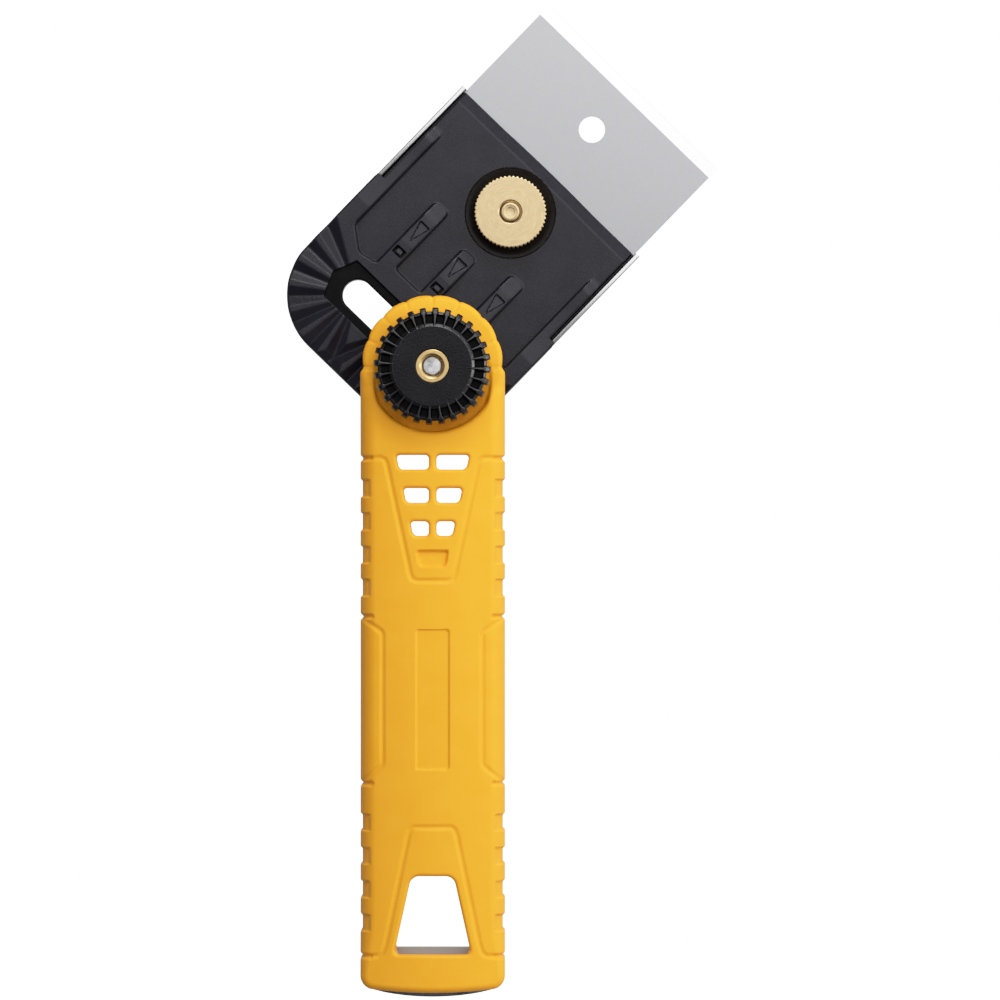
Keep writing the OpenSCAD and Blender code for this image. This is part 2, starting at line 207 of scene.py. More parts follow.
def make(name, verts, faces, normals=None, smooth=True):
    me = bpy.data.meshes.new(name)
    me.from_pydata((np.asarray(verts, float) * MM).tolist(), [], [list(map(int, q)) for q in faces])
    me.validate()
    me.polygons.foreach_set("use_smooth", np.full(len(me.polygons), smooth))
    if normals is not None:
        me.normals_split_custom_set_from_vertices(np.asarray(normals, float).tolist())
    me.update()
    ob = bpy.data.objects.new(name, me)
    bpy.context.scene.collection.objects.link(ob)
    return ob


# ---- handle ------------------------------------------------------------------
HW = 18.3


def plan(x, y):
    up = np.maximum(y - 0.4, 0)
    t = np.mod(np.degrees(np.arctan2(up, x)), 22.5) / 22.5
    bulge = 17.5 + 0.32 * (1 - (2 * t - 1) ** 2)
    side = HW - 0.8 * np.clip(1 + y / 2.0, 0, 1) ** 2
    d = np.hypot(x, up) - np.where(y > 0, bulge, side)
    return both(d, np.hypot(x, y + 6) - 152, 3.0)


def groove(d, half, deep):
    p = np.clip(1 - d / half, 0, 1)
    return deep * p * p * (3 - 2 * p)


def span(d, a, b, e):
    """1 for a < d < b, with soft ends e wide."""
    return ramp(d, a - e / 2, a + e / 2) * (1 - ramp(d, b - e / 2, b + e / 2))


UPPER = [(s, 4.3) for s in (28.5, 36.9, 45.3, 53.65)]
LOWER = [(s, 4.15) for s in (113.0, 121.5, 129.9, 138.4)]


def side_cuts(x, y):
    """How deep the sides are cut: grip recesses and the notches where grooves run over the edge."""
    ax, d = np.abs(x), -y
    rec = 0
    for s, n in UPPER + LOWER:
        rec = rec + span(d, s, s + n, 0.5)
    cut = 0.55 * rec * ramp(ax, 15.45, 16.3)
    for s in (23.1, 63.1, 105.2, 148.8):
        cut = np.maximum(cut, groove(np.hypot(np.maximum(15.5 - ax, 0), d - s), 0.95, 0.75))
    return cut


def face_cuts(x, y):
    """Grooves, panels and marks on the front, as depths."""
    ax, d = np.abs(x), -y
    lines = [
        [(20, 23.1), (12.9, 23.0), (12.1, 23.5), (11.6, 24.5), (5.65, 52.3), (5.1, 53.5), (3.9, 54.0), (-3, 54.0)],
        [(20, 62.0), (18.3, 63.1), (12.9, 66.8), (12.6, 67.6), (12.6, 99.9), (12.9, 100.7), (18.3, 105.2), (20, 106.4)],
        [(-3, 116.1), (4.7, 116.1), (5.6, 116.8), (6.1, 118.2), (11.8, 145.6), (12.6, 147.9), (13.7, 148.7), (20, 148.7)],
    ]
    cut = 0
    for pts in lines:
        cut = np.maximum(cut, groove(path(ax, d, pts), 1.0, 0.3))
    blind = both(np.abs(d - 48.385) - 2.055, (ax - 4.1 + 0.2 * (d - 46.33)) * 0.98, 0.8)
    cut = np.maximum(cut, 0.85 * (1 - ramp(blind, -0.45, 0.3)))
    panel = both(ax - 4.1, np.abs(d - 83.95) - 17.65, 0.6)
    cut = np.maximum(cut, 0.38 * (1 - ramp(panel, -0.22, 0.22)))
    r = np.hypot(x, y)
    near = np.mod(np.degrees(np.arctan2(np.maximum(y, 0), x)) + 11.25, 22.5) - 11.25
    line = np.where(y > -1, np.radians(np.abs(near)) * r, 9)
    return np.maximum(cut, groove(line, 0.7, 0.16) * ramp(r, 14.2, 16.6))


def windows(x, y):
    ax, d = np.abs(x), -y
    best = None
    for i in range(3):
        d0 = 22.2 + 8.4 * i
        edge = (ax - 9.3 + 0.2117 * (d - 22.2)) / 1.0222
        w = both(np.maximum(d0 - d, d - d0 - 3.7), np.maximum(0.93 - ax, edge), 1.05)
        best = w if best is None else np.minimum(best, w)
    return best


def hang(x, y):
    ax, d = np.abs(x), -y
    side = (ax - 5.65 - 0.221 * (d - 129.8)) / 1.024
    return both(both(side, 128.46 - d, 2.0), d - 148.25, 1.5)


def front_shell(x, y, z):
    p = plan(x, y)
    # the round end lies lower, falls off towards its top and ramps up beside the knob
    r = np.hypot(x, y)
    k = np.maximum(-y - 4.5, 0)
    low = 18.3 + 0.04 * (15.2 - np.hypot(x, np.maximum(y, 0))) + 0.55 * k * k / (k + 3)
    low = low - 0.022 * np.maximum(y - 11, 0) ** 2
    top = soft_min(20 - (0.004 + 0.0055 * ramp(-y, 6, 30)) * x * x, low, 0.5)
    f = both(p, z - top, 4.0 - 2.8 * ramp(y, -9, 0) - 2.2 * ramp(-y, 138, 157))
    f = f + np.maximum(side_cuts(x, y), face_cuts(x, y) * ramp(z, 11.5, 14.0))
    rim = both(both(r - 16.45, np.abs(x) - 14.6, 1.5), y - 1.5, 2.0)
    soft = ramp(-y, 2, 9)
    f = both(f, -both(rim, 18.3 - 0.19 * np.clip(-y, 0, 17) * ramp(r, 10.6, 11.2) - z, 0.5 + 0.5 * soft), 0.7 + 0.6 * soft)
    f = np.maximum(f, -np.maximum(r - 10.8, 17.5 - z))
    f = both(f, -windows(x, y), 0.85)
    f = both(f, -hang(x, y), 0.95)
    seat = np.maximum(np.maximum(np.abs(x) - 15.65, y + 148.2), z - 17.05 + 0.04 * np.maximum(np.abs(x) - 9, 0) ** 2)
    f = np.maximum(f, -seat)
    f = both(f, np.where(y > -46, 10.3, 10.0) - z, 0.45)
    plate = np.maximum(np.maximum(r - 16.85, np.abs(x) - 15.05), z - 12.02)
    f = np.maximum(f, -plate)
    return np.maximum(f, 5.52 - r)


def rear_shell(x, y, z):
    f = both(plan(x, y), -z, 5.0) + side_cuts(x, y)
    f = both(f, z - 10, 0.4)
    f = both(f, y + 46, 0.9)
    f = both(f, -hang(x, y), 0.95)
    seat = np.maximum(np.maximum(np.abs(x) - 15.65, y + 148.2), 1.15 - z)
    f = np.maximum(f, -seat)
    hole = np.hypot(np.abs(x) - 9.5, np.minimum(np.abs(y + 70), np.abs(y + 114)))
    return both(f, -np.maximum(hole - 3.1, z - 4.0), 0.25)


# ---- head --------------------------------------------------------------------
RAY1 = [math.radians(a) for a in np.arange(-112.5, 22.6, 22.5)]
RAY0 = [math.radians(a) for a in (-112.5, -90, -67.5)]


def head_outline(u, v):
    au = np.abs(u)
    rear = np.hypot(np.maximum(au - SLOT + 0.1, 0), np.minimum(v, 0)) - 18.1
    side = au - np.where(v > 26.0, 29.45, 31.35)
    return np.where(v < 0, rear, side)


def teeth(u, v):
    """Height of the tooth tops: valleys that deepen outward about each slot end and about the middle."""
    h = np.full(np.broadcast(u, v).shape, 9.0)
    au = np.abs(u)
    for c, rays, q in ((SLOT, RAY1, au), (0.0, RAY0, u)):
        for a in rays:
            ca, sa = math.cos(a), math.sin(a)
            along = (q - c) * ca + v * sa
            off = -(q - c) * sa + v * ca
            w = 8.5 - 0.097 * along + 0.64 * np.sqrt(off * off + 0.05)
            h = np.minimum(h, np.where(along > 0, w, 9.0))
    return soft_min(h, 8.5, 0.14)


def head_body(u, v, z):
    au = np.abs(u)
    out = head_outline(u, v)
    front = v - 56.3 - 0.25 * np.clip(1 - (u / 16) ** 2, 0, 1)
    # floor slab
    f = both(out, z - 6.0, 0.4)
    # raised plateau with index teeth; pockets left out between ribs and fingers, whose ends ramp down
    wide = rounded(au, v, [(15.65, 9.15), (20.7, 8.1), (26.4, 12.5), (26.4, 90), (15.65, 90)], 0.7)
    narrow = rounded(au, v, [(2.3, 11.4), (11.05, 11.4), (11.05, 90), (2.3, 90)], 0.9)
    level = 8.5 + 0 * au
    sink = 0 * au
    for c, end in ((0.0, 27.7), (SLOT, 31.4)):
        here = np.abs(au - c) < 4
        level = np.where(here, 8.5 - 0.9 * np.clip((v - 18.2) / (end - 18.2), 0, 1) - 1.6 * ramp(v, end - 5.5, end + 1.0), level)
        tri = inside(au - c, v, [(0, 19.0), (1.6, 24.7), (-1.6, 24.7)])
        sink = np.where(here, (0.3 + 0.6 * np.clip((v - 19.0) / 5.7, 0, 1)) * (1 - ramp(tri, -0.2, 0.1)), sink)
        narrow = np.where(here & (v > 20), np.minimum(narrow, -both(np.abs(au - c) - 2.3, v - end, 1.4)), narrow)
    t = np.clip((v - 18.2) / 18, 0, 1)
    level = np.where(au > 24, 8.5 - 1.1 * (1 - (1 - t) ** 2) - 1.5 * ramp(v, 40.6, 45.4), level)
    raised = both(np.maximum(np.maximum(-wide, -narrow), out), (z - level + sink) * 0.97, 0.55)
    raised = np.maximum(raised, both(out, (z - teeth(u, v)) * 0.87, 0.6))
    f = either(f, raised, 0.2)
    f = both(f, np.where(v > 25.2, out, -5), 0.3)
    # foot along each side, over the blade's edge
    f = np.minimum(f, np.maximum(np.maximum(au - 30.04, 26.3 - v), z - 2.9))
    # front bevel
    f = both(f, front, 0.25)
    f = both(f, (z - 6.0) * 0.86 + (v - 53.3 - 0.25 * np.clip(1 - (u / 16) ** 2, 0, 1)) * 0.51, 0.12)
    # recess along the slot, and the slot
    band = inside(u, v, [(-SLOT - 8.6, 0), (-SLOT - 6.1, -6.1), (SLOT + 6.1, -6.1), (SLOT + 8.6, 0), (SLOT + 6.1, 6.1), (-SLOT - 6.1, 6.1)])
    f = both(f, -both(band, 7.0 - z, 0.15), 0.22)
    slot = np.hypot(np.maximum(au - SLOT, 0), v) - 3.875
    f = both(f, -slot, 0.35)
    # pits of the cover hooks
    for c in (0.0, SLOT):
        pit = np.maximum(np.maximum(np.abs(au - c) - 1.5, np.abs(v - 15.2) - 1.05), 5.5 - z)
        f = both(f, -pit, 0.12)
    # seat of the thumb nut
    r = np.hypot(u, v - 42.0)
    f = both(f, -both(r - 11.5, 5.6 + 0.3 * ramp(r, 8.6, 11.6) - z, 0.1), 0.2)
    f = np.maximum(f, 3.31 - r)
    # underside: skirt round the cover, blade seat
    low = np.where(v > 22.5, 1.9, 0.0)
    f = both(f, low - z, 0.3)
    inset = np.maximum(np.maximum(out + 1.75, v - 22.6), z - 1.25)
    f = np.maximum(f, -inset)
    channel = np.maximum(np.maximum(au - SLOT - 6.05, np.abs(v) - 6.05), z - 4.05)
    return np.maximum(f, -channel)


def cover(u, v, z):
    """Rear cover with its three snap hooks."""
    au = np.abs(u)
    f = both(np.maximum(head_outline(u, v) + 1.8, v - 22.5), np.abs(z - 0.6) - 0.6, 0.25)
    f = both(f, 3.95 - np.hypot(np.maximum(au - SLOT, 0), v), 0.25)
    for c in (0.0, SLOT):
        hook = both(np.abs(au - c) - 1.0, np.maximum(v - 16.15, np.where(z > 5.6, 14.45, 15.1) - v), 0.25)
        f = np.minimum(f, np.maximum(both(hook, z - 7.9 + 0.15 * (v - 14.45), 0.35), 0.3 - z))
    return f


# ---- knob --------------------------------------------------------------------
KNOB_TOP = 26.7


def knob_form(x, y, z):
    r = np.hypot(x, y)
    a = np.arctan2(y, x) + math.radians(3.3)
    step = 2 * math.pi / 28
    off = (np.mod(a + step / 2, step) - step / 2) * r
    top = KNOB_TOP - 0.1 * np.maximum(r - 9.95, 0) - 0.5 * np.maximum(r - 13.5, 0) - 1.6 * np.maximum(r - 14.35, 0)
    # core with the trough between flat and rim
    core = both(r - 13.75 + 0.7 * ramp(-z, -21.4, -20.6), (z - KNOB_TOP + 1.1 + 0.58 * np.maximum(r - 13.0, 0)) * 0.87, 0.15)
    core = both(core, -both(np.maximum(9.95 - r, r - 13.0), KNOB_TOP - 3.4 - z, 0.25), 0.12)
    hub = both(r - 10.75, (z - KNOB_TOP + 0.6 * np.maximum(r - 9.95, 0)) * 0.9, 0.1)
    f = either(core, hub, 0.15)
    # ribs with drafted sides: narrow over the trough, full blocks outside it
    wide = 0.22 + 0.2 * np.clip((r - 10.2) / 2.7, 0, 1) + 0.28 * ramp(r, 12.8, 13.2)
    rib = both((np.abs(off) - wide + 0.25 * np.maximum(z - top + 0.3, -0.4)) * 0.96, r - 14.75, 0.15)
    rib = both(rib, (z - top) * 0.85, 0.18)
    rib = np.maximum(rib, np.maximum(9.0 - r, 20.8 - z))
    f = either(f, rib, 0.1)
    f = both(f, 18.5 - z, 0.5)
    f = both(f, 4.19 - r, 0.25)
    return f


# ---- turned and flat pieces --------------------------------------------------
def lathe(rings, count, cx=0.0, cy=0.0, wave=None):
    """Quads round a profile of (r, z); wave(angle, r, z) gives the radius to use instead."""
    t = np.arange(count) * 2 * math.pi / count
    verts, faces = [], []
    for r, z in rings:
        rr = wave(t, r, z) if wave else np.full(count, r)
        verts.append(np.stack([cx + rr * np.cos(t), cy + rr * np.sin(t), np.full(count, z)], 1))
    verts = np.concatenate(verts)
    k = np.arange(count)
    for i in range(len(rings) - 1):
        a, b = i * count + k, i * count + (k + 1) % count
        faces.append(np.stack([a, b, b + count, a + count], 1))
    return verts, np.concatenate(faces)


def auto_smooth(ob, degrees):
    """Flat across edges sharper than this, smooth elsewhere."""
    bm = bmesh.new()
    bm.from_mesh(ob.data)
    bmesh.ops.remove_doubles(bm, verts=bm.verts, dist=1e-7)
    bmesh.ops.recalc_face_normals(bm, faces=bm.faces)
    for e in bm.edges:
        e.smooth = len(e.link_faces) != 2 or e.calc_face_angle(0) < math.radians(degrees)
    for p in bm.faces:
        p.smooth = True
    bm.to_mesh(ob.data)
    bm.free()


# ---- materials ---------------------------------------------------------------
def material(name):
    m = bpy.data.materials.new(name)
    m.use_nodes = True
    t = m.node_tree
    return m, t, t.nodes["Principled BSDF"]


def coords(t, at=(0, 0, 0), turn=0.0, scale=(1, 1, 1)):
    tc = t.nodes.new("ShaderNodeTexCoord")
    mp = t.nodes.new("ShaderNodeMapping")
    mp.vector_type = "TEXTURE"
    mp.inputs["Location"].default_value = at
    mp.inputs["Rotation"].default_value = (0, 0, turn)
    mp.inputs["Scale"].default_value = scale
    t.links.new(tc.outputs["Object"], mp.inputs["Vector"])
    return mp.outputs["Vector"]


def noise(t, vec, scale, detail=2.0, rough=0.5):
    n = t.nodes.new("ShaderNodeTexNoise")
    n.inputs["Scale"].default_value = scale
    n.inputs["Detail"].default_value = detail
    n.inputs["Roughness"].default_value = rough
    t.links.new(vec, n.inputs["Vector"])
    return n.outputs["Fac"]


def between(t, fac, lo, hi, a, b):
    n = t.nodes.new("ShaderNodeMapRange")
    n.inputs["From Min"].default_value = lo
    n.inputs["From Max"].default_value = hi
    n.inputs["To Min"].default_value = a
    n.inputs["To Max"].default_value = b
    t.links.new(fac, n.inputs["Value"])
    return n.outputs["Result"]


def shade(t, fac, lo, hi, ca, cb):
    n = t.nodes.new("ShaderNodeValToRGB")
    n.color_ramp.elements[0].position = lo
    n.color_ramp.elements[0].color = (*ca, 1)
    n.color_ramp.elements[1].position = hi
    n.color_ramp.elements[1].color = (*cb, 1)
    t.links.new(fac, n.inputs["Fac"])
    return n.outputs["Color"]


def bump(t, bsdf, fac, strength, dist):
    n = t.nodes.new("ShaderNodeBump")
    n.inputs["Strength"].default_value = strength
    n.inputs["Distance"].default_value = dist
    t.links.new(fac, n.inputs["Height"])
    t.links.new(n.outputs["Normal"], bsdf.inputs["Normal"])


def plastic(name, dark, light, rough, grain, strength, spec, tint=(1, 1, 1), deep=0.00006):
    m, t, b = material(name)
    b.inputs["Specular Tint"].default_value = (*tint, 1)
    v = coords(t)
    t.links.new(shade(t, noise(t, v, 160, 3), 0.3, 0.7, dark, light), b.inputs["Base Color"])
    t.links.new(between(t, noise(t, v, 900, 2), 0.3, 0.7, rough - 0.04, rough + 0.05), b.inputs["Roughness"])
    b.inputs["Specular IOR Level"].default_value = spec
    bump(t, b, noise(t, v, grain, 3, 0.6), strength, deep)
    return m


def metal(name, dark, light, rough, turn=0.0, stretch=(1, 1, 1), scale=900, strength=0.12, at=(0, 0, 0), spread=0.08):
    m, t, b = material(name)
    v = coords(t, at, turn, stretch)
    g = noise(t, v, scale, 4, 0.6)
    t.links.new(shade(t, g, 0.3, 0.7, dark, light), b.inputs["Base Color"])
    t.links.new(between(t, g, 0.3, 0.7, rough - spread, rough + spread), b.inputs["Roughness"])
    b.inputs["Metallic"].default_value = 1.0
    bump(t, b, g, strength, 0.00002)
    return m


def turned_metal(name, dark, light, rough, at, scale=2600, strength=0.2):
    """Concentric tool marks about a vertical axis."""
    m, t, b = material(name)
    v = coords(t, at)
    sep = t.nodes.new("ShaderNodeSeparateXYZ")
    t.links.new(v, sep.inputs[0])
    ln = t.nodes.new("ShaderNodeVectorMath")
    ln.operation = "LENGTH"
    flat = t.nodes.new("ShaderNodeCombineXYZ")
    t.links.new(sep.outputs[0], flat.inputs[0])
    t.links.new(sep.outputs[1], flat.inputs[1])
    t.links.new(flat.outputs[0], ln.inputs[0])
    ang = t.nodes.new("ShaderNodeMath")
    ang.operation = "ARCTAN2"
    t.links.new(sep.outputs[1], ang.inputs[0])
    t.links.new(sep.outputs[0], ang.inputs[1])
    sc = t.nodes.new("ShaderNodeMath")
    sc.operation = "MULTIPLY"
    sc.inputs[1].default_value = 0.0012
    t.links.new(ang.outputs[0], sc.inputs[0])
    cyl = t.nodes.new("ShaderNodeCombineXYZ")
    t.links.new(ln.outputs["Value"], cyl.inputs[0])
    t.links.new(sc.outputs[0], cyl.inputs[1])
    t.links.new(sep.outputs[2], cyl.inputs[2])
    g = noise(t, cyl.outputs[0], scale, 5, 0.65)
    t.links.new(shade(t, g, 0.3, 0.7, dark, light), b.inputs["Base Color"])
    t.links.new(between(t, g, 0.3, 0.7, rough - 0.07, rough + 0.08), b.inputs["Roughness"])
    b.inputs["Metallic"].default_value = 1.0
    bump(t, b, g, strength, 0.00002)
    return m


NUT = (0.019641351, 0.141451741, 0.0)
PIV = (0.0, PIVOT_Y * MM, 0.0)
yellow = plastic("yellow_shell", (0.91, 0.378, 0.022), (0.94, 0.396, 0.027), 0.42, 2600, 0.10, 0.22, (1, 0.9, 0.4))
black = plastic("black_nylon", (0.0078, 0.0074, 0.0118), (0.0115, 0.0110, 0.0166), 0.28, 3000, 0.18, 0.23, deep=0.0002)
knob_black = plastic("knob_nylon", (0.0025, 0.0024, 0.0036), (0.0045, 0.0043, 0.0062), 0.22, 2100, 0.10, 0.46)
knob_grain = plastic("knob_face", (0.0030, 0.0029, 0.0044), (0.0060, 0.0058, 0.0084), 0.28, 2200, 0.50, 0.13, deep=0.0002)
# the nut's seat: a darker, brown-tinted copy of the black plastic, painted shade under the nut and painted reflection
# of the brass
seat_shade_and_reflection = plastic("nut_seat_painted_shade", (0.0045, 0.0035, 0.0028), (0.0065, 0.005, 0.004), 0.22, 1500, 0.03, 0.10)
# a darker, nearly unreflecting copy of the black plastic for the floor of the slot's recess and the knob's pits:
# painted shade in these recesses
smooth = plastic("slot_floor_shade", (0.0020, 0.0019, 0.0019), (0.0035, 0.0033, 0.0033), 0.22, 1500, 0.04, 0.06)
steel = metal("blade_steel", (0.260, 0.260, 0.271), (0.322, 0.322, 0.335), 0.34, -ANGLE, (1, 0.06, 1), 2600, 0.16)
ground = metal("ground_edge", (0.58, 0.58, 0.585), (0.62, 0.62, 0.62), 0.42, -ANGLE, (1, 0.05, 1), 2600, 0.05)
sheet = metal("sheet_steel", (0.36, 0.36, 0.365), (0.46, 0.46, 0.465), 0.30, -ANGLE, (1, 0.08, 1), 1500, 0.01, spread=0.03)
# the butt's steel is kept dark, painted shade under the yellow lip; the faces at the hang hole's floor get the lighter
# copy below
butt = metal("butt_steel", (0.07, 0.07, 0.08), (0.22, 0.22, 0.22), 0.60, 0.0, (1, 1, 0.4), 900, 0.8, spread=0.12)
butt_top = metal("butt_lighter_copy", (0.36, 0.34, 0.305), (0.52, 0.49, 0.44), 0.55, 0.0, (1, 1, 0.4), 900, 0.5, spread=0.1)
wire = metal("spring_steel", (0.40, 0.40, 0.42), (0.5, 0.5, 0.52), 0.3)
zinc = metal("zinc_hardware", (0.55, 0.56, 0.58), (0.70, 0.71, 0.73), 0.33, scale=700, strength=0.2)
bolt_end = metal("bolt_end", (0.25, 0.25, 0.255), (0.60, 0.60, 0.60), 0.28, scale=420, strength=0.1)
brass_nut = turned_metal("brass_nut", (0.39, 0.286, 0.158), (0.55, 0.413, 0.236), 0.32, NUT, 2600, 0.25)
brass_pin = turned_metal("brass_insert", (0.43, 0.29, 0.125), (0.56, 0.388, 0.18), 0.34, PIV, 2600, 0.15)

SLOT_OF = {"yellow_shell": yellow, "black_nylon": black, "blade_steel": steel, "sheet_steel": sheet,
           "butt_steel": butt, "spring_steel": wire, "zinc_hardware": zinc, "brass": brass_pin}
for sub in frame["record"]["subparts"]:
    node = frame["nodes"][sub["node"]]
    node.data.materials.clear()
    node.data.materials.append(bolt_end if sub["node"] == "pivot_bolt" else SLOT_OF[sub["material_slot"]])


def place(ob, node, body, slot, *mats):
    for m in mats:
        ob.data.materials.append(m)
    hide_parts(node)
    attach(ob, body)
    return ob


# ---- build: handle -----------------------------------------------------------
h = 0.415 if FINE else 0.6
P, N, Q = net(front_shell, (-18.4, -158.1, 10), (18.4, 18.4, 20), (h, h, 0.52 if FINE else 0.6))
place(make("handle_front", on_handle(P), Q, N), "handle_front_shell", "handle", "yellow_shell", yellow)
h = 0.45 if FINE else 0.8
P, N, Q = net(rear_shell, (-18.4, -158.1, 0), (18.4, -46, 10), (h, h, h))
place(make("handle_rear", on_handle(P), Q, N), "handle_rear_shell", "handle", "yellow_shell", yellow)

# ---- build: head -------------------------------------------------------------
h = 0.352 if FINE else 0.6
P, N, Q = net(head_body, (-31.4, -18.2, 0), (31.4, 56.7, 8.6), (h, h, h))
head = make("head_moulding", on_head(P), Q, turned(N))
place(head, "head_body", "head", "black_nylon", black, seat_shade_and_reflection, smooth)
mid = P[Q].mean(1)
# faces of the nut's seat, which take the painted shade and brass reflection
seat = (np.hypot(mid[:, 0], mid[:, 1] - 42) < 11.62) & (mid[:, 2] > 4) & (mid[:, 2] < 5.98)
# floor of the recess along the slot, which takes the painted shade
slot_floor_shade = (np.abs(mid[:, 1]) < 6.2) & (np.abs(mid[:, 0]) < SLOT + 8.5) & (mid[:, 2] > 4.1) & (mid[:, 2] < 7.2)
if len(head.data.polygons) == len(Q):
    head.data.polygons.foreach_set("material_index", (seat + 2 * (slot_floor_shade & ~seat)).astype(np.int32))

h = 0.35 if FINE else 0.6
P, N, Q = net(cover, (-29.6, -16.4, 0), (29.6, 22.5, 7.3), (h, h, h))
lid = make("slot_cover", on_head(P), Q, turned(N))
place(lid, "rear_cover", "head", "black_nylon", black)

# ---- build: knob -------------------------------------------------------------
h = 0.2 if FINE else 0.35
P, N, Q = net(knob_form, (-14.9, -14.9, 18.5), (14.9, 14.9, KNOB_TOP), (h, h, h))
P[:, 2] = np.minimum(P[:, 2], KNOB_TOP)
grip =make("clamp_knob", on_handle(P), Q, N)
place(grip, "knob", "knob", "black_nylon", knob_black, knob_grain, smooth)
mid = P[Q].mean(1)
mid_r = np.hypot(mid[:, 0], mid[:, 1])
face = (mid_r < 9.9) & (mid[:, 2] > KNOB_TOP - 0.2)
# pits between the knob's ribs, which take the painted shade
pit = (mid_r > 10.0) & (mid_r < 13.05) & (mid[:, 2] < KNOB_TOP - 1.3)
if len(grip.data.polygons) == len(Q):
    grip.data.polygons.foreach_set("material_index", (face + 2 * pit).astype(np.int32))

rings = [(4.17, -0.25), (4.12, -0.15), (4.02, -0.1), (3.96, -0.1), (3.26, -0.1), (3.2, -0.1), (3.1, -0.15), (2.66, -0.43), (2.56, -0.52)]
rings = [(2.56, 18.6), (4.17, 18.6)] + [(r, KNOB_TOP + z) for r, z in rings] + [(2.56, 18.6)]
V, Fq = lathe(rings, 96, 0, PIVOT_Y)
ins = make("knob_bush", V, Fq)
auto_smooth(ins, 25)
place(ins, "knob_insert", "knob", "brass", brass_pin)

# ---- build: thumb nut and stud -----------------------------------------------
NX, NY = NUT[0] / MM, NUT[1] / MM


def knurl(t, r, z):
    w = np.abs(np.mod(t * 53 / (2 * math.pi), 1) - 0.5) * 2
    star = 9.25 - 0.5 * np.clip(1.25 * w - 0.12, 0, 1)
    return np.minimum(star, r)


rings = [(2.56, 6.05), (3.3, 6.05), (3.3, 5.68), (5.3, 5.68), (5.5, 5.9), (5.5, 7.2), (8.5, 7.2), (8.75, 7.35), (9.02, 7.6),
         (9.25, 7.9), (9.25, 9.2), (9.25, 10.4), (9.25, 11.85), (9.14, 12.06), (8.98, 12.17), (8.72, 12.2), (8.66, 12.2), (6.4, 12.2),
         (4.6, 12.2), (3.16, 12.2), (3.1, 12.2), (3.02, 12.16), (2.66, 11.94), (2.56, 11.84), (2.56, 6.05)]
V, Fq = lathe(rings, 53 * 8 if FINE else 53 * 4, NX, NY, knurl)
nut = make("knurled_nut", V, Fq)
auto_smooth(nut, 28)
place(nut, "thumb_nut", "thumb_nut", "brass", brass_nut)

rings = [(0.0, 0.08), (2.97, 0.08), (2.97, 1.25), (3.22, 1.25), (3.22, 5.15), (2.48, 5.15), (2.48, 11.95), (2.4, 12.22), (2.24, 12.38),
         (2.06, 12.43), (1.82, 12.43), (1.74, 12.35), (1.68, 12.34), (1.2, 12.34), (1.14, 12.33), (1.06, 12.24), (1.0, 12.23), (0.0, 12.23)]
V, Fq = lathe(rings, 72, NX, NY)
stud = make("brass_stud", V, Fq)
auto_smooth(stud, 24)
place(stud, "clamp_stud", "clamp", "brass", brass_nut)

# ---- build: blade ------------------------------------------------------------
EDGE, REAR = 87.0, 27.0
bm = bmesh.new()


def ring_of(cu, cv, r, count=96):
    vs = [bm.verts.new((cu + r * math.cos(2 * math.pi * i / count), cv + r * math.sin(2 * math.pi * i / count), 0)) for i in range(count)]
    return [bm.edges.new((vs[i], vs[(i + 1) % count])) for i in range(count)]


corner = [bm.verts.new(p) for p in ((-30, REAR, 0), (30, REAR, 0), (30, EDGE - 3.05, 0), (-30, EDGE - 3.05, 0))]
edges = [bm.edges.new((corner[i], corner[(i + 1) % 4])) for i in range(4)]
edges += ring_of(0, 42, 3.35) + ring_of(0, 72, 3.35)
flat = bmesh.ops.triangle_fill(bm, use_beauty=True, use_dissolve=False, edges=edges)
for p in bm.faces:
    p.normal_update()
    if p.normal.z < 0:
        p.normal_flip()
top = list(bm.faces)
for v in bm.verts:
    v.co.z = 1.85
ext = bmesh.ops.extrude_face_region(bm, geom=top, use_keep_orig=True)
low = [g for g in ext["geom"] if isinstance(g, bmesh.types.BMVert)]
for v in low:
    v.co.z = 1.25
bm.verts.ensure_lookup_table()
prof = [(EDGE - 3.05, 1.85), (EDGE - 1.55, 1.61), (EDGE - 0.06, 1.32), (EDGE, 1.28), (EDGE - 0.02, 1.25), (EDGE - 3.05, 1.25)]
cols = [[bm.verts.new((s * 30, v, z)) for v, z in prof] for s in (-1, 1)]
for i in range(len(prof) - 1):
    p = bm.faces.new((cols[0][i], cols[1][i], cols[1][i + 1], cols[0][i + 1]))
    p.material_index = 1 if i < 3 else 0
bm.faces.new(cols[0])
bm.faces.new(cols[1][::-1])
bmesh.ops.remove_doubles(bm, verts=bm.verts, dist=1e-5)
inner = [p for p in bm.faces if all(abs(v.co.y - (EDGE - 3.05)) < 1e-4 for v in p.verts)]
bmesh.ops.delete(bm, geom=inner, context="FACES_ONLY")
bmesh.ops.recalc_face_normals(bm, faces=bm.faces)
me = bpy.data.meshes.new("steel_blade")
for v in bm.verts:
    u, w = v.co.x - SLOT, v.co.y
    v.co = ((CA * u + SA * w) * MM, (PIVOT_Y - SA * u + CA * w) * MM, v.co.z * MM)
bm.to_mesh(me)
bm.free()
blade = bpy.data.objects.new("steel_blade", me)
bpy.context.scene.collection.objects.link(blade)
place(blade, "blade", "clamp", "blade_steel", steel, ground)

